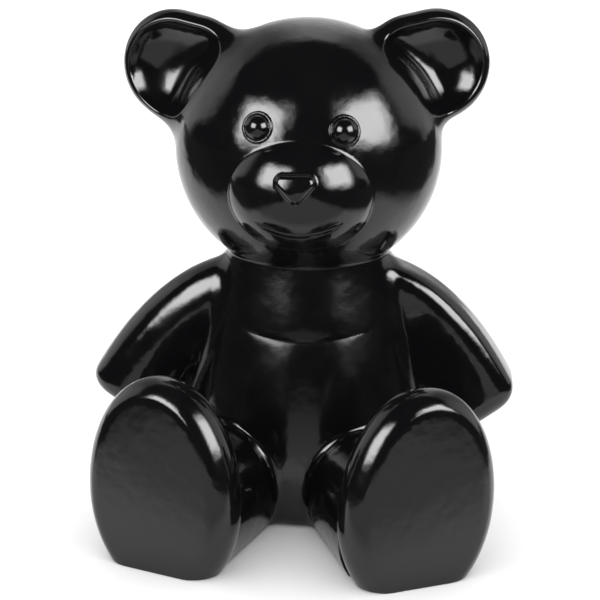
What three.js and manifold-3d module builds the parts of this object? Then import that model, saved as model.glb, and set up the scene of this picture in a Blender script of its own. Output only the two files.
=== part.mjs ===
// Seated bear sculpture, one casting in glossy black lacquered resin.
// Millimetres, +Z up. The bear faces -Y, +X is on the right of a viewer who faces it.
// The origin is on the floor, on the torso's vertical axis.

import * as THREE from 'three';
import { mergeVertices } from 'three/addons/utils/BufferGeometryUtils.js';
import Module from 'manifold-3d';

const wasm = await Module();
wasm.setup();

// Head: an ellipsoid whose centre height sets how tall the bear sits.
const headCentreHeight = 365;
const headWidth = 262.5;
const headDepth = 232;
const headHeight = 255;

// Muzzle: a smaller ellipsoid that comes forward out of the lower face.
const muzzleWidth = 144;
const muzzleDepth = 118;
const muzzleHeight = 124;
const muzzleForward = 0.685; // share of the head's half depth
const muzzleDrop = 0.169; // share of the head's half height

// Eyes: round beads half sunk in the face. The casting is a little uneven.
const eyeDiameter = 27;
const eyeSink = 2;
const eyes = [
  { across: -0.305, up: 0.327 }, // shares of the head's half width and half height
  { across: 0.32, up: 0.312 },
];

// Nose: a low rounded triangle, point down, on the front of the muzzle.
const noseWidth = 40;
const noseHeight = 27;
const noseProud = 6;
const noseEdgeRound = 4;
const noseCornerRound = 7;
const noseAcross = -2;
const noseUp = 0.19; // middle of the nose, share of the muzzle's half height

// Mouth: a smile cut as a shallow groove in the muzzle.
const mouthWidth = 80;
const mouthDrop = 0.576; // lowest point, share of the muzzle's half height
const mouthRise = 12;
const mouthGrooveRadius = 3.2;
const mouthGrooveDepth = 2.4;

// Ears: thick round dishes that face forward, hollowed to a thin rim.
const earDiameter = 112.5;
const earThickness = 52;
const earRim = 7;
const earHollowDepth = 34;
const earTurn = 14; // degrees outward
const earRootShare = 0.35; // how far the root reaches in to the crown, share of the ear's radius
const earLobeShare = 0.84; // size of the lower lobe that runs down into the cheek
const earLobeDrop = 0.3; // how far the lobe hangs, share of the ear's radius
const ears = [
  { side: -1, across: 0.985, up: 0.605, drop: 1 }, // shares of the head's half width and height
  { side: 1, across: 0.922, up: 0.64, drop: 0.85 },
];
const earBack = 8;

// Torso: upright and oval, widest at the belly. The radii pull the outline from floor to neck.
const torsoRadii = { floor: 114, belly: 132, waist: 112, chest: 88, neck: 76 };
const torsoFlatness = 0.82; // depth over width
const rumpRound = 12; // rounding of the torso's edge on the floor
const neckSink = 0.6; // how far the torso goes into the head, share of the head's half height

// Chest fold: a shallow groove across the front.
const foldHeight = 188.5;
const foldHalfWidth = 62;
const foldRise = 8;
const foldGrooveRadius = 4;
const foldGrooveDepth = 2;

// Arms: broad flattened paddles that hang outward from the shoulders and end in a blunt paw.
const shoulderHeight = 221.5;
const armDrop = 116;
const armReach = 177.5; // how far the wrist stands out from the middle
const elbowReach = 113;
const shoulderRadius = 35;
const armRadius = 43.5;
const pawRadius = 47.5;
const pawLength = 18; // from the wrist to the blunt end, along the longer arm
const armFlatness = 0.72; // depth over width
const pawEdgeRound = 19;
const arms = [
  { side: -1, reach: 1, elbow: 1, paw: 0.5, tilt: 26 }, // shares of the three lengths, degrees
  { side: 1, reach: 0.933, elbow: 0.965, paw: 1, tilt: 36 },
];

// Legs: thick limbs that lie on the floor and splay forward and outward. The section is an oval,
// cut by the floor below its widest level.
const hipWidth = 107;
const ankleWidth = 132;
const legTop = 100;
const legWidestHeight = 36;
const hipForward = 30;
const hipSpread = 59; // how far the hips, ankles and soles stand out from the middle
const ankleSpread = 116;
const soleSpread = 132.5;
const legReach = 211.5; // from the middle forward to the sole
const ankleBack = 38; // from the sole back to where the leg meets the foot

// Feet: rounded blocks with flat upright soles. The right leg reaches further and turns out more.
const footWidth = 158.5;
const footTop = 114;
const footBottom = 101;
const footCentreHeight = 71.5;
const footThickness = 48;
const footEdgeRound = 23;
const footSquareness = 2.02;
const soleLean = 3; // degrees back from upright
const feet = [
  // hip, ankle, sole, reach and width are shares of the sizes above, turn and cant are degrees
  { side: -1, hip: 1, ankle: 1, sole: 1, reach: 1, width: 1, turn: 23.5, cant: 3 },
  { side: 1, hip: 0.64, ankle: 0.908, sole: 0.97, reach: 1.058, width: 0.965, turn: 26, cant: 8 },
];

const UP = new THREE.Vector3(0, 0, 1);
const radians = THREE.MathUtils.degToRad;

function toSolid(geometry) {
  const bare = geometry.clone();
  bare.deleteAttribute('normal');
  bare.deleteAttribute('uv');
  const merged = mergeVertices(bare, 1e-4);
  return new wasm.Manifold(new wasm.Mesh({
    numProp: 3,
    vertProperties: new Float32Array(merged.attributes.position.array),
    triVerts: new Uint32Array(merged.index.array),
  }));
}

function toGeometry(solid) {
  const mesh = solid.getMesh();
  const geometry = new THREE.BufferGeometry();
  geometry.setAttribute('position', new THREE.BufferAttribute(mesh.vertProperties, 3));
  geometry.setIndex(new THREE.BufferAttribute(mesh.triVerts, 1));
  geometry.computeVertexNormals();
  return geometry;
}

function place(geometry, centre, turn = new THREE.Matrix4()) {
  return geometry.applyMatrix4(turn).translate(centre.x, centre.y, centre.z);
}

// An ellipsoid with its poles up and down.
function ellipsoid(centre, radii, columns, rows, turn) {
  const ball = new THREE.SphereGeometry(1, columns, rows);
  ball.rotateX(Math.PI / 2);
  ball.scale(radii.x, radii.y, radii.z);
  return toSolid(place(ball, centre, turn));
}

// A closed skin over rings of equal point count, in order along the form, with a fan at each end.
function loft(rings) {
  const count = rings[0].length;
  const points = rings.flat();
  const triangles = [];
  for (let ring = 0; ring < rings.length - 1; ring += 1) {
    for (let i = 0; i < count; i += 1) {
      const a = ring * count + i;
      const b = ring * count + (i + 1) % count;
      triangles.push(a, b, a + count, b, b + count, a + count);
    }
  }
  const last = (rings.length - 1) * count;
  for (let i = 1; i < count - 1; i += 1) {
    triangles.push(0, i + 1, i);
    triangles.push(last, last + i, last + i + 1);
  }
  const geometry = new THREE.BufferGeometry().setFromPoints(points);
  geometry.setIndex(triangles);
  return toSolid(geometry);
}

// One ring of an oval limb: across and deep are its half sizes, normal is the way the limb runs.
function ovalRing(centre, normal, deepAxis, across, deep, count) {
  const side = new THREE.Vector3().crossVectors(deepAxis, normal).normalize();
  const front = new THREE.Vector3().crossVectors(normal, side).normalize();
  return Array.from({ length: count }, (_, i) => {
    const angle = (2 * Math.PI * i) / count;
    return centre.clone()
      .addScaledVector(side, across * Math.cos(angle))
      .addScaledVector(front, deep * Math.sin(angle));
  });
}

// A smooth run through a row of control values, t from 0 to 1.
function blend(values, t) {
  let row = values;
  while (row.length > 1) {
    row = row.slice(1).map((value, i) => row[i] + (value - row[i]) * t);
  }
  return row[0];
}

const head = {
  centre: new THREE.Vector3(0, 0, headCentreHeight),
  radii: new THREE.Vector3(headWidth / 2, headDepth / 2, headHeight / 2),
};
const muzzle = {
  centre: new THREE.Vector3(
    0,
    -muzzleForward * head.radii.y,
    headCentreHeight - muzzleDrop * head.radii.z,
  ),
  radii: new THREE.Vector3(muzzleWidth / 2, muzzleDepth / 2, muzzleHeight / 2),
};
const torsoHeight = headCentreHeight - neckSink * head.radii.z;

// The point on the front of an ellipsoid at a given place across and up, and the way out of it.
function onFront(form, x, z) {
  const across = (x - form.centre.x) / form.radii.x;
  const up = (z - form.centre.z) / form.radii.z;
  const deep = Math.sqrt(Math.max(0.02, 1 - across * across - up * up));
  const point = new THREE.Vector3(x, form.centre.y - deep * form.radii.y, z);
  const out = new THREE.Vector3(across / form.radii.x, -deep / form.radii.y, up / form.radii.z);
  return { point, out: out.normalize() };
}

function torsoRadius(z) {
  const free = blend(Object.values(torsoRadii), THREE.MathUtils.clamp(z / torsoHeight, 0, 1));
  const tuck = Math.max(0, 1 - z / rumpRound);
  return free - rumpRound * (1 - Math.sqrt(1 - tuck * tuck));
}

// A groove along points just off a surface, deepest in the middle and fading out at both ends.
function groove(surfaceAt, halfWidth, radius, depth) {
  const stations = 9;
  const points = Array.from({ length: stations }, (_, i) => {
    const share = (2 * i) / (stations - 1) - 1;
    const { point, out } = surfaceAt(share * halfWidth, share);
    return point.addScaledVector(out, radius - depth * (1 - share ** 4));
  });
  const section = new THREE.Shape().absarc(0, 0, radius, 0, 2 * Math.PI);
  return toSolid(new THREE.ExtrudeGeometry(section, {
    curveSegments: 4,
    steps: 22,
    extrudePath: new THREE.CatmullRomCurve3(points),
  }));
}

function makeEye({ across, up }) {
  const spot = onFront(head, across * head.radii.x, head.centre.z + up * head.radii.z);
  const radius = eyeDiameter / 2;
  const centre = spot.point.addScaledVector(spot.out, -eyeSink);
  return ellipsoid(centre, new THREE.Vector3(radius, radius, radius), 14, 10);
}

function makeNose() {
  const corner = noseCornerRound;
  const half = noseWidth / 2 - corner;
  const top = noseHeight / 2;
  const outline = new THREE.Shape();
  outline.absarc(-half, top - corner, corner, Math.PI * 1.25, Math.PI * 0.5, true);
  outline.absarc(half, top - corner, corner, Math.PI * 0.5, -Math.PI * 0.25, true);
  outline.absarc(0, corner - top, corner, -Math.PI * 0.25, -Math.PI * 0.75, true);
  const spot = onFront(muzzle, noseAcross, muzzle.centre.z + noseUp * muzzle.radii.z);
  const block = new THREE.ExtrudeGeometry(outline, {
    depth: noseCornerRound,
    bevelThickness: noseEdgeRound,
    bevelSize: noseEdgeRound,
    bevelOffset: -noseEdgeRound,
    bevelSegments: 2,
    curveSegments: 5,
  });
  block.translate(0, 0, -noseCornerRound - noseEdgeRound);
  const across = new THREE.Vector3(1, 0, 0);
  const rise = new THREE.Vector3().crossVectors(spot.out, across).normalize();
  const turn = new THREE.Matrix4().makeBasis(across, rise, spot.out);
  return toSolid(place(block, spot.point.addScaledVector(spot.out, noseProud), turn));
}

function makeMouth() {
  const lowest = muzzle.centre.z - mouthDrop * muzzle.radii.z;
  const surfaceAt = (x, share) => onFront(muzzle, x, lowest + mouthRise * share * share);
  return groove(surfaceAt, mouthWidth / 2, mouthGrooveRadius, mouthGrooveDepth);
}

function makeEar({ side, across, up, drop }) {
  const radius = earDiameter / 2;
  const deep = earThickness / 2;
  const lobeRadius = radius * earLobeShare;
  const hollowRadius = radius - earRim;
  const turn = new THREE.Matrix4().makeRotationZ(side * radians(earTurn));
  const centre = new THREE.Vector3(
    side * across * head.radii.x,
    earBack,
    head.centre.z + up * head.radii.z,
  );
  const inward = (distance, drop) => centre.clone()
    .add(new THREE.Vector3(-side * distance, 0, -drop).applyMatrix4(turn));
  const root = earRootShare * radius;
  const dish = (middle, size, columns) => (
    ellipsoid(middle, new THREE.Vector3(size, deep, size), columns, columns / 2, turn)
  );
  const hollow = (middle) => {
    const mouth = middle.add(new THREE.Vector3(0, -deep, 0).applyMatrix4(turn));
    return ellipsoid(mouth, new THREE.Vector3(hollowRadius, earHollowDepth, hollowRadius), 24, 12, turn);
  };
  return dish(centre, radius, 28)
    .add(dish(inward(root, root / 5), radius, 28))
    .add(dish(inward(radius - lobeRadius, drop * earLobeDrop * radius), lobeRadius, 22))
    .subtract(hollow(centre.clone()))
    .subtract(hollow(inward(root, root / 5)));
}

function makeTorso() {
  const rows = 14;
  const edgeRows = 2;
  const levels = Array.from({ length: edgeRows }, (_, i) => (rumpRound * i) / edgeRows);
  for (let i = 0; i <= rows; i += 1) {
    levels.push(rumpRound + ((torsoHeight - rumpRound) * i) / rows);
  }
  const rings = levels.map((z) => {
    const radius = torsoRadius(z);
    const centre = new THREE.Vector3(0, 0, z);
    return ovalRing(centre, UP, new THREE.Vector3(0, 1, 0), radius, radius * torsoFlatness, 32);
  });
  return loft(rings);
}

function makeChestFold() {
  const surfaceAt = (x, share) => {
    const z = foldHeight + foldRise * share * share;
    const radius = torsoRadius(z);
    const deep = Math.sqrt(radius * radius - x * x);
    const point = new THREE.Vector3(x, -deep * torsoFlatness, z);
    const out = new THREE.Vector3(x, -deep / torsoFlatness, 0).normalize();
    return { point, out };
  };
  return groove(surfaceAt, foldHalfWidth, foldGrooveRadius, foldGrooveDepth);
}

function makeArm({ side, reach, elbow, paw, tilt }) {
  const lowest = shoulderHeight - armDrop;
  const spine = new THREE.QuadraticBezierCurve3(
    new THREE.Vector3(side * shoulderRadius, 0, shoulderHeight),
    new THREE.Vector3(side * elbow * elbowReach, 0, shoulderHeight),
    new THREE.Vector3(side * reach * armReach, 0, lowest),
  );
  const pawNormal = new THREE.Vector3(side * Math.sin(radians(tilt)), 0, -Math.cos(radians(tilt)));
  const deepAxis = new THREE.Vector3(0, 1, 0);
  const rings = [];
  const addRing = (centre, normal, radius, stretch) => {
    rings.push(ovalRing(centre, normal, deepAxis, radius * stretch, radius * armFlatness, 18));
  };
  const steps = 12;
  for (let i = 0; i <= steps; i += 1) {
    const t = i / steps;
    const along = spine.getTangent(t);
    const normal = along.clone().lerp(pawNormal, t * t).normalize();
    const radius = blend([shoulderRadius, 2 * armRadius - (shoulderRadius + pawRadius) / 2, pawRadius], t);
    addRing(spine.getPoint(t), normal, radius, 1 / normal.dot(along));
  }
  const stretch = 1 / pawNormal.dot(spine.getTangent(1));
  const edgeSteps = 3;
  for (let i = 0; i <= edgeSteps; i += 1) {
    const angle = (i / edgeSteps) * Math.PI / 2;
    const centre = spine.getPoint(1)
      .addScaledVector(pawNormal, paw * pawLength + pawEdgeRound * (Math.sin(angle) - 1));
    addRing(centre, pawNormal, pawRadius - pawEdgeRound * (1 - Math.cos(angle)), stretch);
  }
  return loft(rings);
}

function soleDirection({ side, turn }) {
  return new THREE.Vector3(side * Math.sin(radians(turn)), -Math.cos(radians(turn)), 0);
}

function makeLeg(foot) {
  const hip = new THREE.Vector3(foot.side * foot.hip * hipSpread, -hipForward, legWidestHeight);
  const ankle = new THREE.Vector3(
    foot.side * foot.ankle * ankleSpread,
    ankleBack - foot.reach * legReach,
    legWidestHeight,
  );
  const along = ankle.clone().sub(hip).normalize();
  const rise = legTop - legWidestHeight;
  const rings = [72, 54, 36, 18].map((degrees) => {
    const angle = radians(degrees);
    const centre = hip.clone().addScaledVector(along, (-hipWidth / 2) * Math.sin(angle));
    return ovalRing(centre, along, UP, (hipWidth / 2) * Math.cos(angle), rise * Math.cos(angle), 24);
  });
  const steps = 4;
  for (let i = 0; i <= steps; i += 1) {
    const t = i / steps;
    const half = (hipWidth + (ankleWidth - hipWidth) * t) / 2;
    rings.push(ovalRing(hip.clone().lerp(ankle, t), along, UP, half, rise, 24));
  }
  return loft(rings);
}

function makeFoot(foot) {
  const outline = new THREE.Shape();
  const count = 30;
  const power = 2 / footSquareness;
  for (let i = 0; i < count; i += 1) {
    const angle = (2 * Math.PI * i) / count;
    const across = Math.cos(angle);
    const up = Math.sin(angle);
    const half = up > 0 ? footTop : footBottom;
    outline[i === 0 ? 'moveTo' : 'lineTo'](
      (foot.width * footWidth / 2) * Math.sign(across) * Math.abs(across) ** power,
      half * Math.sign(up) * Math.abs(up) ** power,
    );
  }
  const block = new THREE.ExtrudeGeometry(outline, {
    depth: footThickness - 2 * footEdgeRound,
    bevelThickness: footEdgeRound,
    bevelSize: footEdgeRound,
    bevelOffset: -footEdgeRound,
    bevelSegments: 3,
  });
  block.translate(0, 0, footEdgeRound - footThickness);
  const lean = radians(soleLean);
  const normal = soleDirection(foot).multiplyScalar(Math.cos(lean)).addScaledVector(UP, Math.sin(lean));
  const across = new THREE.Vector3().crossVectors(UP, normal).normalize();
  const rise = new THREE.Vector3().crossVectors(normal, across);
  const turn = new THREE.Matrix4().makeBasis(across, rise, normal)
    .multiply(new THREE.Matrix4().makeRotationZ(-foot.side * radians(foot.cant)));
  const centre = new THREE.Vector3(foot.side * foot.sole * soleSpread, -foot.reach * legReach, 0)
    .addScaledVector(rise, footCentreHeight / Math.cos(lean));
  return toSolid(place(block, centre, turn));
}

// Everything that would reach below the floor.
function makeUnderfloor() {
  const wide = 4 * headCentreHeight;
  const deep = footBottom + legTop;
  return toSolid(new THREE.BoxGeometry(wide, wide, deep).translate(0, 0, -deep / 2));
}

function makeBear() {
  const forms = [
    ellipsoid(head.centre, head.radii, 40, 24),
    ellipsoid(muzzle.centre, muzzle.radii, 30, 18).subtract(makeMouth()),
    makeTorso().subtract(makeChestFold()),
    makeNose(),
    ...eyes.map(makeEye),
    ...ears.map(makeEar),
    ...arms.map(makeArm),
    ...feet.map(makeLeg),
    ...feet.map(makeFoot),
  ];
  const whole = forms.reduce((joined, form) => joined.add(form));
  return toGeometry(whole.subtract(makeUnderfloor()));
}

const lacquer = new THREE.MeshStandardMaterial({ color: 0x0b0b0c, roughness: 0.12, metalness: 0 });
const bear = new THREE.Mesh(makeBear(), lacquer);
bear.name = 'bear';

const sculpture = new THREE.Group();
sculpture.name = 'bear_sculpture';
sculpture.add(bear);

export default sculpture;
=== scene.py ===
"""A seated bear sculpture, one casting under glossy black lacquer, in a plain pale studio.

Metres, +Z up. The bear faces -Y, and +X is on the right of a viewer who faces it.
The sizes below are those of a bear 0.5029 m tall, and the finished skin is scaled to the frame.
"""

import math

import bpy
import numpy as np
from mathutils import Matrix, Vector


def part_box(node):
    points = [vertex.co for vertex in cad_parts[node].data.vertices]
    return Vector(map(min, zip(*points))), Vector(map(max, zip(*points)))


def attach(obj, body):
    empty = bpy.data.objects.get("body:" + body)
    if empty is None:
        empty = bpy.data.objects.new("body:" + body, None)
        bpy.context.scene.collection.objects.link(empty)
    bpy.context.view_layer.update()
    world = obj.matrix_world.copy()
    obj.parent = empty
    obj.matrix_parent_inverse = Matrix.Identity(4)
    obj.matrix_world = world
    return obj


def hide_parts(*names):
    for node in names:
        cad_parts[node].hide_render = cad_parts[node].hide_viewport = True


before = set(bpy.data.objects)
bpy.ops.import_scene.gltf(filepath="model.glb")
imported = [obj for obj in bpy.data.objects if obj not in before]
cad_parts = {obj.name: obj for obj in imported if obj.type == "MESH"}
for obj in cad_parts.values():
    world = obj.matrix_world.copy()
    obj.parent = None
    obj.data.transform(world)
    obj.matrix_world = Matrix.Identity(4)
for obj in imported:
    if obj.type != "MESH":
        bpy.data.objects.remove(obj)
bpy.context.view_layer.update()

# Head and muzzle
MODELLED_HEIGHT = 0.5029
HEAD_CENTRE = np.array([0.0, 0.0, 0.365])
HEAD_RADII = np.array([0.1312, 0.116, 0.1276])
MUZZLE_CENTRE = np.array([0.0, -0.0795, 0.3435])
MUZZLE_RADII = np.array([0.072, 0.059, 0.062])
MUZZLE_JOIN = 0.0015

# Eyes: a bead on a thin washer-like ring
EYE_RADIUS = 0.0132
EYE_SINK = 0.002
EYE_RING_RADIUS = 0.0144
EYE_RING_PROUD = 0.0007
EYE_RING_ROOT = 0.008
EYE_JOIN = 0.0012
EYES = [(-0.304, 0.322), (0.319, 0.307)]  # shares of the head's half width and half height

# Nose: a rounded triangle, point down
NOSE_HALF_WIDTH = 0.0188
NOSE_HALF_HEIGHT = 0.0135
NOSE_CORNER = 0.007
NOSE_PROUD = 0.006
NOSE_ROOT = 0.012
NOSE_EDGE = 0.0048
NOSE_DOME = 0.0022
NOSE_JOIN = 0.003
NOSE_ACROSS = -0.002
NOSE_UP = 0.19  # share of the muzzle's half height

# Mouth: a smile cut into the muzzle
MOUTH_HALF_WIDTH = 0.040
MOUTH_DROP = 0.576  # share of the muzzle's half height
MOUTH_RISE = 0.0122
MOUTH_RADIUS = 0.0032
MOUTH_DEPTH = 0.0032
MOUTH_EDGE = 0.0012

# Ears: round dishes with a thin rim, turned outward
EAR_RADIUS = 0.0552
EAR_HALF_DEPTH = 0.026
EAR_RIM = 0.006
EAR_HOLLOW_DEPTH = 0.034
EAR_TURN = math.radians(14)
EAR_ROOT = 0.36  # how far the root reaches in to the crown, share of the ear's radius
EAR_LOBE = 0.80
EAR_BACK = 0.008
EAR_RIM_ROUND = 0.004
EAR_LOBE_JOIN = 0.008
EARS = [  # side, across and up as shares of the head's half width and height, lobe drop, join
    (-1, 0.997, 0.612, 0.0176, 0.024),
    (1, 0.927, 0.642, 0.0147, 0.0156),
]

# Torso: radii pulled from the floor to the neck, deeper folds at chest and neck
TORSO_RADII = [0.117, 0.132, 0.112, 0.088, 0.076]
TORSO_HEIGHT = 0.2901
TORSO_FLATNESS = 0.82
RUMP_ROUND = 0.012
NECK_JOIN = 0.003
FOLD_HEIGHT = 0.1885
FOLD_HALF_WIDTH = 0.078
FOLD_RISE = 0.011
FOLD_BULGE = 0.0028
FOLD_REACH = 0.019
BELLY_BULGE = 0.0028
BELLY_REACH = 0.042
FOLD_CUT = 0.0012
FOLD_CUT_REACH = 0.0015

# Arms: flattened paddles along a bent line, with a blunt paw
SHOULDER_HEIGHT = 0.2215
ARM_DROP = 0.116
ARM_RADII = [0.035, 0.046, 0.0475]
PAW_ROUND = 0.019
ARM_JOIN = 0.012
ARMS = [  # side, reach, elbow, tilt of the paw's end in degrees, its reach past the spine, flatness, squareness
    (-1, 0.1784, 0.1132, 26, 0.0085, 0.80, 2.4),
    (1, 0.1669, 0.109, 36.6, 0.0178, 0.72, 4.5),
]

# Legs and feet
HIP_HALF_WIDTH = 0.0535
ANKLE_HALF_WIDTH = 0.066
LEG_HALF_HEIGHT = 0.064
LEG_WIDEST_HEIGHT = 0.036
HIP_FORWARD = 0.030
ANKLE_BACK = 0.038  # from the sole back to where the leg meets the foot
ANKLE_JOIN = 0.005
LEG_JOIN = 0.008
FOOT_TOP = 0.114
FOOT_BOTTOM = 0.101
FOOT_CENTRE_HEIGHT = 0.0715
FOOT_THICKNESS = 0.056
FOOT_ROUND = 0.028
SOLE_CUT = 0.003
SOLE_EDGE = 0.002
FOOT_SQUARENESS = 2.02
SOLE_LEAN = math.radians(3)
FEET = [  # side, hip across, ankle across, sole across, forward, turn and cant in degrees, width
    (-1, 0.059, 0.116, 0.1325, 0.2115, 23.5, 3, 0.1585),
    (1, 0.0378, 0.1052, 0.1285, 0.2226, 26, 8, 0.153),
]
FLOOR_ROUND = 0.0012

# Lacquer: less polished round this place in the middle of the chest
SOFT_CENTRE = (0.0, -0.10, 0.19)
SOFT_REACH = (0.05, 0.12)

UP = np.array([0.0, 0.0, 1.0])
PROBE = 0.0001  # how far apart the distance is sampled to find its slope

# The block of space that holds the figure, searched for its skin
REACH_LOW = np.array([-0.226, -0.250, 0.0])
REACH_HIGH = np.array([0.216, 0.122, MODELLED_HEIGHT])

# Studio: each softbox with its place, width, height and watts
SOFTBOXES = {
    "softbox_left": ((-0.76, -1.02, 0.90), 1.12, 1.02, 41.0),
    "softbox_right": ((1.0, -0.76, 0.92), 1.25, 1.08, 48.0),
}
SOFTBOX_AIM = (0.0, -0.1, 0.3)
SOFTBOX_EDGE = (0.0, 0.28)  # from the edge in, as a share of the side
SOFTBOX_TONE = (0.05, 1.12)
FLOOR_HALF_SIZE = 12.0
FLOOR_TONE = 0.93

# Camera, for a bear of the modelled height
CAMERA_DISTANCE = 2.0
CAMERA_TARGET_HEIGHT = 0.2075
CAMERA_ELEVATION = math.radians(17)
CAMERA_AZIMUTH = math.radians(4.5)
CAMERA_AIM_LEFT = 0.0086
CAMERA_LENS = 119.1


def unit(vector):
    return vector / np.linalg.norm(vector)


def smooth_union(a, b, width):
    """The nearer of two distances, with the crease between them filled over about width."""
    near = np.maximum(width - np.abs(a - b), 0.0) / width
    return np.minimum(a, b) - near * near * width / 4


def smooth_cut(a, b, width):
    """a without b, with the edge between them eased over about width."""
    return -smooth_union(-a, b, width)


def rounded_overlap(a, b, radius):
    """Inside both a and b, with the edge between them rounded to radius."""
    over_a = a + radius
    over_b = b + radius
    corner = np.hypot(np.maximum(over_a, 0.0), np.maximum(over_b, 0.0))
    return np.minimum(np.maximum(over_a, over_b), 0.0) + corner - radius


def slab(height, top, bottom):
    """Between two levels, the bottom given as a depth."""
    return np.maximum(height - top, -bottom - height)


def ellipsoid(offset, radii):
    near = np.linalg.norm(offset / radii, axis=-1)
    slope = np.linalg.norm(offset / np.square(radii), axis=-1)
    return near * (near - 1.0) / np.maximum(slope, 1e-9)


def blend(values, share):
    """A smooth run through a row of control values, share from 0 to 1."""
    row = list(values)
    while len(row) > 1:
        row = [a + (b - a) * share for a, b in zip(row, row[1:])]
    return row[0]


def turned_about_z(angle):
    cos, sin = math.cos(angle), math.sin(angle)
    return np.array([[cos, -sin, 0.0], [sin, cos, 0.0], [0.0, 0.0, 1.0]])


def on_front(centre, radii, x, z):
    """The point on the front of an ellipsoid at a place across and up, and the way out of it."""
    across = (x - centre[0]) / radii[0]
    up = (z - centre[2]) / radii[2]
    deep = math.sqrt(max(0.02, 1 - across * across - up * up))
    point = np.array([x, centre[1] - deep * radii[1], z])
    return point, unit(np.array([across / radii[0], -deep / radii[1], up / radii[2]]))


def tube(points, path, radius):
    """Distance to a round tube along a path of points."""
    nearest = np.full(len(points), 1.0)
    reach = 0.03
    low, high = path.min(axis=0) - reach, path.max(axis=0) + reach
    close = np.all((points > low) & (points < high), axis=1)
    local = points[close]
    best = np.full(len(local), 1.0)
    for start, end in zip(path, path[1:]):
        run = end - start
        share = np.clip((local - start) @ run / (run @ run), 0.0, 1.0)
        gap = local - start - share[:, None] * run
        best = np.minimum(best, np.linalg.norm(gap, axis=1))
    nearest[close] = best
    return nearest - radius


def eye(points, across, up):
    spot, out = on_front(HEAD_CENTRE, HEAD_RADII, across * HEAD_RADII[0],
                         HEAD_CENTRE[2] + up * HEAD_RADII[2])
    bead = np.linalg.norm(points - (spot - EYE_SINK * out), axis=1) - EYE_RADIUS
    height = (points - spot) @ out
    aside = np.linalg.norm(points - spot - height[:, None] * out, axis=1)
    ring = rounded_overlap(aside - EYE_RING_RADIUS, slab(height, EYE_RING_PROUD, EYE_RING_ROOT),
                           EYE_RING_PROUD)
    return np.minimum(bead, ring)


def nose(points):
    spot, out = on_front(MUZZLE_CENTRE, MUZZLE_RADII, NOSE_ACROSS,
                         MUZZLE_CENTRE[2] + NOSE_UP * MUZZLE_RADII[2])
    across = np.array([1.0, 0.0, 0.0])
    rise = unit(np.cross(out, across))
    local = points - spot
    flat = np.stack([local @ across, local @ rise], axis=1)
    half = NOSE_HALF_WIDTH - NOSE_CORNER
    top = NOSE_HALF_HEIGHT - NOSE_CORNER
    corners = np.array([[-half, top], [0.0, -top], [half, top]])
    distance = np.full(len(points), -1.0)
    nearest = np.full(len(points), 1.0)
    for start, end in zip(corners, np.roll(corners, -1, axis=0)):
        run = end - start
        share = np.clip((flat - start) @ run / (run @ run), 0.0, 1.0)
        gap = flat - start - share[:, None] * run
        nearest = np.minimum(nearest, np.linalg.norm(gap, axis=1))
        side = unit(np.array([run[1], -run[0]]))
        distance = np.maximum(distance, (flat - start) @ side)
    outline = np.where(distance > 0, nearest, distance) - NOSE_CORNER
    dome = NOSE_DOME * np.sum(np.square(flat / [NOSE_HALF_WIDTH, NOSE_HALF_HEIGHT]), axis=1)
    return rounded_overlap(outline, slab(local @ out + dome, NOSE_PROUD, NOSE_ROOT), NOSE_EDGE)


def mouth(points):
    lowest = MUZZLE_CENTRE[2] - MOUTH_DROP * MUZZLE_RADII[2]
    path = []
    for share in np.linspace(-1.0, 1.0, 41):
        spot, out = on_front(MUZZLE_CENTRE, MUZZLE_RADII, share * MOUTH_HALF_WIDTH,
                             lowest + MOUTH_RISE * share * share)
        path.append(spot + out * (MOUTH_RADIUS - MOUTH_DEPTH * (1 - share ** 4)))
    return tube(points, np.array(path), MOUTH_RADIUS)


def ear(points, side, across, up, lobe_drop):
    centre = np.array([side * across * HEAD_RADII[0], EAR_BACK,
                       HEAD_CENTRE[2] + up * HEAD_RADII[2]])
    local = (points - centre) @ turned_about_z(side * EAR_TURN)
    root = EAR_ROOT * EAR_RADIUS
    toward_head = np.array([-side, 0.0, -0.2]) * root
    share = np.clip(local @ toward_head / (toward_head @ toward_head), 0.0, 1.0)
    dish = local - share[:, None] * toward_head
    lobe_radius = EAR_LOBE * EAR_RADIUS
    lobe = local - np.array([-side * (EAR_RADIUS - lobe_radius), 0.0, -lobe_drop])
    body = smooth_union(
        ellipsoid(dish, np.array([EAR_RADIUS, EAR_HALF_DEPTH, EAR_RADIUS])),
        ellipsoid(lobe, np.array([lobe_radius, EAR_HALF_DEPTH, lobe_radius])),
        EAR_LOBE_JOIN,
    )
    hollow_radius = EAR_RADIUS - EAR_RIM
    hollow = ellipsoid(dish + np.array([0.0, EAR_HALF_DEPTH, 0.0]),
                       np.array([hollow_radius, EAR_HOLLOW_DEPTH, hollow_radius]))
    return smooth_cut(body, hollow, EAR_RIM_ROUND)


def chest_fold(x, z):
    """How far the front of the torso stands out or in because of the fold across the chest."""
    share = np.clip(np.abs(x) / FOLD_HALF_WIDTH, 0.0, 1.0)
    above = z - FOLD_HEIGHT - FOLD_RISE * share * share
    run = np.abs(above) / np.where(above > 0, FOLD_REACH, BELLY_REACH)
    bulge = np.where(above > 0, FOLD_BULGE, BELLY_BULGE) * run * np.exp(1 - run)
    cut = FOLD_CUT * np.exp(-np.abs(above) / FOLD_CUT_REACH)
    return (bulge - cut) * np.square(1 - share * share)


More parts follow.
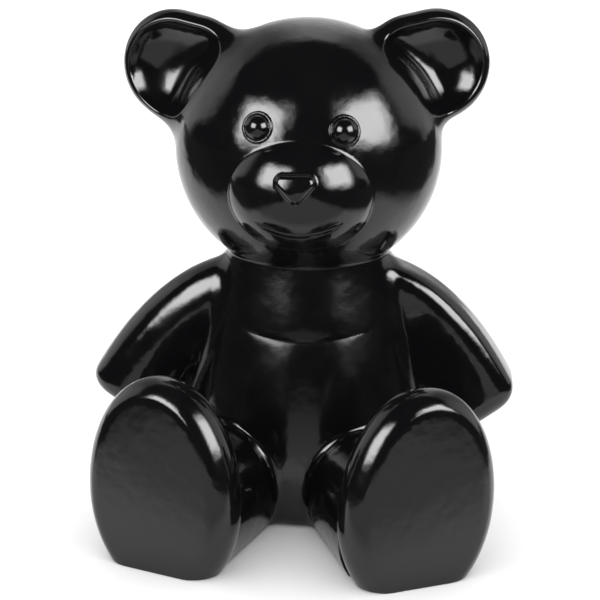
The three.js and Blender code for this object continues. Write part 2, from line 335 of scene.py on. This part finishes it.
def torso(points):
    x, y, z = points.T
    share = np.clip(z / TORSO_HEIGHT, 0.0, 1.0)
    step = 0.01
    growth = blend(TORSO_RADII, share + step) - blend(TORSO_RADII, share - step)
    slope = growth / (2 * step * TORSO_HEIGHT)
    fold = np.where(y < 0, chest_fold(x, z), 0.0)
    around = np.maximum(np.hypot(x, y / TORSO_FLATNESS), 1e-6)
    steepness = np.sqrt(np.square(x / around) + np.square(y / (TORSO_FLATNESS ** 2 * around))
                        + np.square(slope))
    side = (around - blend(TORSO_RADII, share) - fold) / steepness
    side = rounded_overlap(side, -z, RUMP_ROUND)
    return np.maximum(side, z - TORSO_HEIGHT)


def arm(points, side, reach, elbow, tilt, past, flatness, squareness):
    """A limb round a bent line, its section flattened and a little squared. Its spine is a quadratic
    curve, and the nearest point on it is found from a row of samples and a few Newton steps."""
    start = np.array([side * ARM_RADII[0], 0.0, SHOULDER_HEIGHT])
    bend = np.array([side * elbow, 0.0, SHOULDER_HEIGHT])
    end = np.array([side * reach, 0.0, SHOULDER_HEIGHT - ARM_DROP])
    curl = start - 2 * bend + end
    local = points / np.array([1.0, flatness, 1.0])

    def gap_at(share):
        share = share[:, None]
        return start + 2 * share * (bend - start) + share * share * curl - local

    best = np.zeros(len(points))
    shortest = np.full(len(points), np.inf)
    for sample in np.linspace(0.0, 1.0, 9):
        length = np.linalg.norm(gap_at(np.full(len(points), sample)), axis=1)
        best = np.where(length < shortest, sample, best)
        shortest = np.minimum(length, shortest)
    for _ in range(4):
        gap = gap_at(best)
        along = 2 * (bend - start) + 2 * best[:, None] * curl
        pull = np.sum(gap * along, axis=1)
        stiffness = np.sum(along * along, axis=1) + np.sum(gap * 2 * curl, axis=1)
        best = np.clip(best - pull / np.maximum(stiffness, 1e-5), 0.0, 1.0)
    gap = gap_at(best)
    across = np.hypot(gap[:, 0], gap[:, 2]) + 1e-6
    deep = np.abs(gap[:, 1]) + 1e-6
    length = (across ** squareness + deep ** squareness) ** (1 / squareness)
    steepness = np.hypot((across / length) ** (squareness - 1),
                         (deep / length) ** (squareness - 1) / flatness)
    limb = (length - blend(ARM_RADII, best)) / steepness
    paw = np.array([side * math.sin(math.radians(tilt)), 0.0, -math.cos(math.radians(tilt))])
    return rounded_overlap(limb, (points - end) @ paw - past, PAW_ROUND)


def leg(points, side, hip_across, ankle_across, forward):
    hip = np.array([side * hip_across, -HIP_FORWARD, LEG_WIDEST_HEIGHT])
    ankle = np.array([side * ankle_across, ANKLE_BACK - forward, LEG_WIDEST_HEIGHT])
    length = np.linalg.norm(ankle - hip)
    along = (ankle - hip) / length
    across = np.cross(along, UP)
    local = points - hip
    run = local @ along
    share = np.clip(run / length, 0.0, 1.0)
    half = HIP_HALF_WIDTH + (ANKLE_HALF_WIDTH - HIP_HALF_WIDTH) * share
    offset = np.stack([local @ across, local @ UP, np.minimum(run, 0.0)], axis=1)
    radii = np.stack([half, np.full(len(points), LEG_HALF_HEIGHT), half], axis=1)
    return np.maximum(ellipsoid(offset, radii), run - length)


def foot(points, side, sole_across, forward, turn, cant, width):
    turn = math.radians(turn)
    facing = np.array([side * math.sin(turn), -math.cos(turn), 0.0])
    out = facing * math.cos(SOLE_LEAN) + UP * math.sin(SOLE_LEAN)
    across = unit(np.cross(UP, out))
    rise = np.cross(out, across)
    centre = np.array([side * sole_across, -forward, 0.0])
    centre = centre + rise * FOOT_CENTRE_HEIGHT / math.cos(SOLE_LEAN)
    axes = np.stack([across, rise, out], axis=1) @ turned_about_z(-side * math.radians(cant))
    local = (points - centre) @ axes
    u = np.abs(local[:, 0]) / (width / 2) + 1e-6
    half = np.where(local[:, 1] > 0, FOOT_TOP, FOOT_BOTTOM)
    v = np.abs(local[:, 1]) / half + 1e-6
    power = FOOT_SQUARENESS
    size = (u ** power + v ** power) ** (1 / power)
    steepness = size ** (1 - power) * np.hypot(u ** (power - 1) / (width / 2), v ** (power - 1) / half)
    outline = (size - 1) / steepness
    thick = np.abs(local[:, 2] - SOLE_CUT + FOOT_THICKNESS / 2) - FOOT_THICKNESS / 2
    block = rounded_overlap(outline, thick, FOOT_ROUND)
    return rounded_overlap(block, local[:, 2], SOLE_EDGE)


def bear(points):
    """Signed distance to the skin of the whole figure, negative inside."""
    face = ellipsoid(points - MUZZLE_CENTRE, MUZZLE_RADII)
    face = smooth_union(face, nose(points), NOSE_JOIN)
    face = smooth_cut(face, mouth(points), MOUTH_EDGE)
    head = smooth_union(ellipsoid(points - HEAD_CENTRE, HEAD_RADII), face, MUZZLE_JOIN)
    for across, up in EYES:
        head = smooth_union(head, eye(points, across, up), EYE_JOIN)
    for side, across, up, lobe_drop, join in EARS:
        head = smooth_union(head, ear(points, side, across, up, lobe_drop), join)
    body = torso(points)
    for shape in ARMS:
        body = smooth_union(body, arm(points, *shape), ARM_JOIN)
    for side, hip_across, ankle_across, sole_across, forward, turn, cant, width in FEET:
        limb = smooth_union(
            leg(points, side, hip_across, ankle_across, forward),
            foot(points, side, sole_across, forward, turn, cant, width),
            ANKLE_JOIN,
        )
        body = smooth_union(body, limb, LEG_JOIN)
    whole = smooth_union(head, body, NECK_JOIN)
    return rounded_overlap(whole, -points[:, 2], FLOOR_ROUND)


def in_batches(field, points, size=150000):
    return np.concatenate([field(points[i:i + size]) for i in range(0, len(points), size)])


def gradient(field, points, step):
    """Which way the distance grows, from four samples round each point."""
    ways = np.array([[1, 1, 1], [1, -1, -1], [-1, 1, -1], [-1, -1, 1]], dtype=float)
    total = sum(way * in_batches(field, points + step * way)[:, None] for way in ways)
    return total / (4 * step)


def settled(field, points, rounds):
    """The points moved onto the skin."""
    for _ in range(rounds):
        slope = gradient(field, points, PROBE)
        steep = np.maximum(np.sum(slope * slope, axis=1), 0.2)
        points = points - (in_batches(field, points) / steep)[:, None] * slope
    return points


def sampled(field, low, high, pitch):
    """The field on a regular grid, worked out only near the skin."""
    coarse = 4
    counts = np.ceil((high - low) / (coarse * pitch)).astype(int)
    corners = np.stack(np.meshgrid(*[np.arange(n + 1) for n in counts], indexing="ij"), axis=-1)
    far = in_batches(field, (low + corners.reshape(-1, 3) * coarse * pitch)).reshape(corners.shape[:3])
    fine_counts = counts * coarse + 1
    index = [np.minimum((np.arange(n) + coarse // 2) // coarse, c) for n, c in zip(fine_counts, counts)]
    values = far[np.ix_(*index)]
    near = np.argwhere(np.abs(values) < 3.2 * coarse * pitch / 2)
    values[tuple(near.T)] = in_batches(field, low + near * pitch)
    return values


def netted(values, low, pitch):
    """Quads round the cells where the field changes sign, one vertex a cell."""
    inside = values < 0
    counts = np.array(values.shape) - 1
    corner_steps = np.array([[i, j, k] for i in (0, 1) for j in (0, 1) for k in (0, 1)])

    def corner(grid, step):
        return grid[tuple(slice(s, s + n) for s, n in zip(step, counts))]

    held = sum(corner(inside, step).astype(int) for step in corner_steps)
    cells = np.argwhere((held > 0) & (held < 8))
    numbers = np.full(tuple(counts), -1)
    numbers[tuple(cells.T)] = np.arange(len(cells))
    at_corner = np.stack([values[tuple((cells + step).T)] for step in corner_steps], axis=1)
    total = np.zeros((len(cells), 3))
    crossings = np.zeros(len(cells))
    for a in range(8):
        for b in range(a + 1, 8):
            if np.abs(corner_steps[a] - corner_steps[b]).sum() != 1:
                continue
            start, end = at_corner[:, a], at_corner[:, b]
            crosses = (start < 0) != (end < 0)
            share = np.where(crosses, start / np.where(crosses, start - end, 1.0), 0.0)
            place = corner_steps[a] + share[:, None] * (corner_steps[b] - corner_steps[a])
            total += np.where(crosses[:, None], place, 0.0)
            crossings += crosses
    points = low + (cells + total / crossings[:, None]) * pitch

    quads = []
    for axis in range(3):
        step = np.eye(3, dtype=int)[axis]
        aside, beyond = np.eye(3, dtype=int)[(axis + 1) % 3], np.eye(3, dtype=int)[(axis + 2) % 3]
        start = inside[tuple(slice(0, n + 1 - s) for s, n in zip(step, counts))]
        end = inside[tuple(slice(s, n + 1) for s, n in zip(step, counts))]
        edges = np.argwhere(start != end)
        inner = np.all((edges + step > 0) & (edges < counts), axis=1)
        edges = edges[inner]
        ring = np.stack([numbers[tuple((edges - move).T)]
                         for move in (aside + beyond, beyond, 0 * aside, aside)], axis=1)
        leaves = start[tuple(edges.T)]
        quads.append(np.where(leaves[:, None], ring, ring[:, ::-1]))
    return points, np.concatenate(quads)


def triangulated(points, quads):
    """Each quad cut along its shorter diagonal."""
    a, b, c, d = quads.T
    first = np.linalg.norm(points[a] - points[c], axis=1)
    second = np.linalg.norm(points[b] - points[d], axis=1)
    short = (first <= second)[:, None]
    one = np.where(short, np.stack([a, b, c], axis=1), np.stack([a, b, d], axis=1))
    two = np.where(short, np.stack([a, c, d], axis=1), np.stack([b, c, d], axis=1))
    return np.concatenate([one, two])


def edges_of(faces, count):
    """The mesh's edges, and for each face the numbers of its three."""
    ends = np.sort(np.stack([faces, np.roll(faces, -1, axis=1)], axis=2).reshape(-1, 2), axis=1)
    keys, numbers = np.unique(ends[:, 0] * count + ends[:, 1], return_inverse=True)
    return np.stack([keys // count, keys % count], axis=1), numbers.reshape(-1, 3)


def refined(field, points, faces, shortest, bend):
    """Splits the edges over which the skin turns by more than bend."""
    edges, numbers = edges_of(faces, len(points))
    slope = gradient(field, points, PROBE)
    slope /= np.linalg.norm(slope, axis=1)[:, None]
    lengths = np.linalg.norm(points[edges[:, 0]] - points[edges[:, 1]], axis=1)
    turns = np.sum(slope[edges[:, 0]] * slope[edges[:, 1]], axis=1) < math.cos(bend)
    split = turns & (lengths > 2 * shortest)
    longest = numbers[np.arange(len(faces)), np.argmax(lengths[numbers], axis=1)]
    for _ in range(4):
        touched = np.any(split[numbers], axis=1)
        split[longest[touched]] = True
    middles = points[edges[split]].mean(axis=1)
    added = np.full(len(edges), -1)
    added[split] = len(points) + np.arange(len(middles))
    points = np.concatenate([points, settled(field, middles, 2)])

    mids = added[numbers]
    cuts = np.sum(mids >= 0, axis=1)
    result = [faces[cuts == 0]]
    for turn in range(3):
        corner = np.roll(faces, -turn, axis=1)
        mid = np.roll(mids, -turn, axis=1)
        one = (cuts == 1) & (mid[:, 0] >= 0)
        v, m = corner[one].T, mid[one].T
        result += [np.stack([v[0], m[0], v[2]], axis=1), np.stack([m[0], v[1], v[2]], axis=1)]
        two = (cuts == 2) & (mid[:, 2] < 0)
        v, m = corner[two].T, mid[two].T
        result += [np.stack([m[0], v[1], m[1]], axis=1), np.stack([v[0], m[0], m[1]], axis=1),
                   np.stack([v[0], m[1], v[2]], axis=1)]
    v, m = faces[cuts == 3].T, mids[cuts == 3].T
    result += [np.stack([v[0], m[0], m[2]], axis=1), np.stack([m[0], v[1], m[1]], axis=1),
               np.stack([m[2], m[1], v[2]], axis=1), np.stack([m[0], m[1], m[2]], axis=1)]
    return points, np.concatenate(result)


def relaxed(field, points, faces, rounds):
    """Evens the vertices out along the skin."""
    edges, _ = edges_of(faces, len(points))
    for _ in range(rounds):
        total = np.zeros_like(points)
        counts = np.zeros(len(points))
        for start, end in ((0, 1), (1, 0)):
            for axis in range(3):
                total[:, axis] += np.bincount(edges[:, start], points[edges[:, end], axis], len(points))
            counts += np.bincount(edges[:, start], minlength=len(points))
        pull = total / counts[:, None] - points
        slope = gradient(field, points, PROBE)
        slope /= np.linalg.norm(slope, axis=1)[:, None]
        pull -= np.sum(pull * slope, axis=1)[:, None] * slope
        points = settled(field, points + 0.5 * pull, 1)
    return points


def make_skin():
    """The whole figure as one mesh, finest where the skin turns most."""
    pitch = 0.0042
    margin = 4 * pitch
    low = REACH_LOW - margin
    high = REACH_HIGH + margin
    points, quads = netted(sampled(bear, low, high, pitch), low, pitch)
    points = settled(bear, points, 3)
    faces = triangulated(points, quads)
    points = relaxed(bear, points, faces, 2)
    for bend in (math.radians(16), math.radians(13), math.radians(13)):
        points, faces = refined(bear, points, faces, 0.0006, bend)
    points = relaxed(bear, points, faces, 2)
    points = settled(bear, points, 2)
    normals = gradient(bear, points, PROBE)
    return points, faces, normals / np.linalg.norm(normals, axis=1)[:, None]


def make_mesh(name, points, faces, normals):
    mesh = bpy.data.meshes.new(name)
    mesh.vertices.add(len(points))
    mesh.vertices.foreach_set("co", points.ravel())
    mesh.loops.add(faces.size)
    mesh.loops.foreach_set("vertex_index", faces.ravel())
    mesh.polygons.add(len(faces))
    mesh.polygons.foreach_set("loop_start", np.arange(0, faces.size, 3))
    mesh.update(calc_edges=True)
    mesh.validate()
    mesh.shade_smooth()
    mesh.normals_split_custom_set_from_vertices(normals)
    piece = bpy.data.objects.new(name, mesh)
    bpy.context.collection.objects.link(piece)
    return piece


def node(tree, kind, **inputs):
    made = tree.nodes.new(kind)
    for name, value in inputs.items():
        made.inputs[name.replace("_", " ")].default_value = value
    return made


def noise(tree, coordinates, scale, detail):
    made = node(tree, "ShaderNodeTexNoise", Scale=scale, Detail=detail, Roughness=0.5)
    tree.links.new(coordinates, made.inputs["Vector"])
    return made.outputs["Fac"]


def eased(tree, value, across, result):
    """A smooth step from one result to the other as the value goes across a range."""
    made = node(tree, "ShaderNodeMapRange", From_Min=across[0], From_Max=across[1],
                To_Min=result[0], To_Max=result[1])
    made.interpolation_type = "SMOOTHSTEP"
    tree.links.new(value, made.inputs["Value"])
    return made.outputs["Result"]


def worked(tree, operation, *values):
    made = tree.nodes.new("ShaderNodeMath")
    made.operation = operation
    for value, socket in zip(values, made.inputs):
        if isinstance(value, float):
            socket.default_value = value
        else:
            tree.links.new(value, socket)
    return made.outputs["Value"]


def bumped(tree, height, distance, under):
    """A bump of a noise height, on top of another bump or on the bare skin."""
    bump = node(tree, "ShaderNodeBump", Strength=1.0, Distance=distance)
    tree.links.new(height, bump.inputs["Height"])
    if under is not None:
        tree.links.new(under, bump.inputs["Normal"])
    return bump.outputs["Normal"]


def make_lacquer():
    """Black lacquer that ripples a little, glossy all over but duller on the chest."""
    material = bpy.data.materials.new("lacquer_black")
    material.use_nodes = True
    tree = material.node_tree
    shader = tree.nodes["Principled BSDF"]
    shader.inputs["Base Color"].default_value = (0.0035, 0.0035, 0.004, 1.0)
    shader.inputs["IOR"].default_value = 1.5
    shader.inputs["Coat Weight"].default_value = 0.0
    place = node(tree, "ShaderNodeTexCoord").outputs["Object"]
    ripple = bumped(tree, noise(tree, place, 55.0, 1.0), 0.00045, None)
    peel = bumped(tree, noise(tree, place, 170.0, 2.0), 0.00009, ripple)
    tree.links.new(peel, shader.inputs["Normal"])
    patchy = eased(tree, noise(tree, place, 38.0, 4.0), (0.35, 0.7), (0.08, 0.15))
    reach = node(tree, "ShaderNodeVectorMath")
    reach.operation = "DISTANCE"
    reach.inputs[1].default_value = SOFT_CENTRE
    tree.links.new(place, reach.inputs[0])
    soft = eased(tree, reach.outputs["Value"], SOFT_REACH, (0.08, 0.0))
    tree.links.new(worked(tree, "ADD", patchy, soft), shader.inputs["Roughness"])
    dull = eased(tree, reach.outputs["Value"], SOFT_REACH, (0.24, 0.5))
    tree.links.new(dull, shader.inputs["Specular IOR Level"])
    return material


def make_floor():
    """Pale to the eye. In the gloss it is pale near the bear and behind, with painted shade making it greyer in
    front and darker at the sides.
    """
    size = FLOOR_HALF_SIZE
    mesh = bpy.data.meshes.new("studio_floor")
    mesh.from_pydata([(-size, -size, 0), (size, -size, 0), (size, size, 0), (-size, size, 0)], [],
                     [(0, 1, 2, 3)])
    floor = bpy.data.objects.new("studio_floor", mesh)
    bpy.context.collection.objects.link(floor)
    paint = bpy.data.materials.new("studio_floor_paint")
    paint.use_nodes = True
    tree = paint.node_tree
    shader = tree.nodes["Principled BSDF"]
    place = node(tree, "ShaderNodeTexCoord").outputs["Object"]
    split = node(tree, "ShaderNodeSeparateXYZ")
    tree.links.new(place, split.inputs["Vector"])
    # Painted shade: the floor colour is darkened in front of the bear and towards the sides, standing in for
    # the unlit parts of the studio seen in the lacquer
    front = eased(tree, split.outputs["Y"], (-0.42, -0.27), (0.48, FLOOR_TONE))
    aside = worked(tree, "ABSOLUTE", split.outputs["X"])
    close = eased(tree, aside, (0.45, 0.75), (1.0, 0.04))
    spread = worked(tree, "MULTIPLY_ADD", aside, -1.3, split.outputs["Y"])
    spread = worked(tree, "MULTIPLY_ADD", split.outputs["X"], -0.3, spread)
    behind = eased(tree, spread, (-0.9, -0.6), (0.04, 1.0))
    painted_shade_tone = worked(tree, "MULTIPLY", front, worked(tree, "MAXIMUM", close, behind))
    # Camera and diffuse rays see the even pale floor; only glossy rays see the painted shade
    seen = tree.nodes.new("ShaderNodeLightPath").outputs["Is Glossy Ray"]
    plain = eased(tree, seen, (0.0, 1.0), (FLOOR_TONE, 0.0))
    tree.links.new(worked(tree, "MAXIMUM", painted_shade_tone, plain), shader.inputs["Base Color"])
    shader.inputs["Roughness"].default_value = 0.9
    shader.inputs["Specular IOR Level"].default_value = 0.0
    mesh.materials.append(paint)


def make_world():
    """Pale all round for the eye and for soft light. In the gloss, the room in front and overhead
    is dark, and the walls at the sides and behind are pale."""
    world = bpy.data.worlds.new("studio")
    bpy.context.scene.world = world
    world.use_nodes = True
    tree = world.node_tree
    tree.nodes.clear()
    way = node(tree, "ShaderNodeTexCoord").outputs["Generated"]
    split = node(tree, "ShaderNodeSeparateXYZ")
    tree.links.new(way, split.inputs["Vector"])
    overhead = eased(tree, split.outputs["Z"], (0.5, 1.0), (0.0, 0.45))
    low = eased(tree, split.outputs["Z"], (0.0, 0.3), (0.42, 0.0))
    back = worked(tree, "SUBTRACT", worked(tree, "SUBTRACT", split.outputs["Y"], overhead), low)
    walls = eased(tree, back, (-0.12, 0.14), (0.01, 1.0))
    aside = worked(tree, "ABSOLUTE", split.outputs["X"])
    middle = eased(tree, aside, (0.05, 0.35), (1.3, 0.4))
    sides = eased(tree, aside, (0.5, 0.85), (0.0, 0.55))
    strength = worked(tree, "MULTIPLY", walls, worked(tree, "ADD", middle, sides))
    path = node(tree, "ShaderNodeLightPath")
    pale = node(tree, "ShaderNodeBackground", Color=(1.0, 1.0, 1.0, 1.0), Strength=1.5)
    room = node(tree, "ShaderNodeBackground", Color=(1.0, 1.0, 1.0, 1.0))
    tree.links.new(strength, room.inputs["Strength"])
    mix = node(tree, "ShaderNodeMixShader")
    tree.links.new(path.outputs["Is Glossy Ray"], mix.inputs["Fac"])
    tree.links.new(pale.outputs["Background"], mix.inputs[1])
    tree.links.new(room.outputs["Background"], mix.inputs[2])
    out = node(tree, "ShaderNodeOutputWorld")
    tree.links.new(mix.outputs["Shader"], out.inputs["Surface"])


def make_softbox(name, place, width, height, power):
    """A rectangular light that fades toward its edges and shows only in the gloss."""
    light = bpy.data.lights.new(name, "AREA")
    light.shape = "RECTANGLE"
    light.size = width
    light.size_y = height
    light.energy = power
    light.use_nodes = True
    tree = light.node_tree
    split = node(tree, "ShaderNodeSeparateXYZ")
    tree.links.new(tree.nodes.new("ShaderNodeNewGeometry").outputs["Parametric"], split.inputs["Vector"])
    across, along = [
        eased(tree, worked(tree, "PINGPONG", split.outputs[axis], 0.5), SOFTBOX_EDGE, SOFTBOX_TONE)
        for axis in "XY"
    ]
    tree.links.new(worked(tree, "MULTIPLY", across, along), tree.nodes["Emission"].inputs["Strength"])
    box = bpy.data.objects.new(name, light)
    box.location = place
    box.rotation_euler = (Vector(SOFTBOX_AIM) - Vector(place)).to_track_quat("-Z", "Y").to_euler()
    box.visible_camera = False
    box.visible_diffuse = False
    bpy.context.collection.objects.link(box)


def make_camera(scale):
    """The photograph's viewpoint: 2 m away, a little above and to the right of the bear's middle."""
    target = Vector((0.0, 0.0, CAMERA_TARGET_HEIGHT * scale))
    level = math.cos(CAMERA_ELEVATION)
    back = Vector((math.sin(CAMERA_AZIMUTH) * level, -math.cos(CAMERA_AZIMUTH) * level,
                   math.sin(CAMERA_ELEVATION)))
    right = Vector((math.cos(CAMERA_AZIMUTH), math.sin(CAMERA_AZIMUTH), 0.0))
    camera = bpy.data.cameras.new("camera")
    camera.sensor_width = 36.0
    camera.lens = CAMERA_LENS
    holder = bpy.data.objects.new("camera", camera)
    holder.location = target + back * CAMERA_DISTANCE * scale
    aim = target - right * CAMERA_AIM_LEFT * scale
    holder.rotation_euler = (aim - holder.location).to_track_quat("-Z", "Y").to_euler()
    bpy.context.collection.objects.link(holder)
    bpy.context.scene.camera = holder


low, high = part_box("bear")
scale = (high[2] - low[2]) / MODELLED_HEIGHT
points, faces, normals = make_skin()
piece = make_mesh("bear_lacquered", points * scale, faces, normals)
piece.data.materials.append(make_lacquer())
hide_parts("bear")
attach(piece, "root")
print("skin:", len(points), "points,", len(faces), "triangles")

make_floor()
make_world()
for name, (place, width, height, power) in SOFTBOXES.items():
    make_softbox(name, place, width, height, power)
make_camera(scale)
bpy.context.scene.view_settings.view_transform = "Standard"
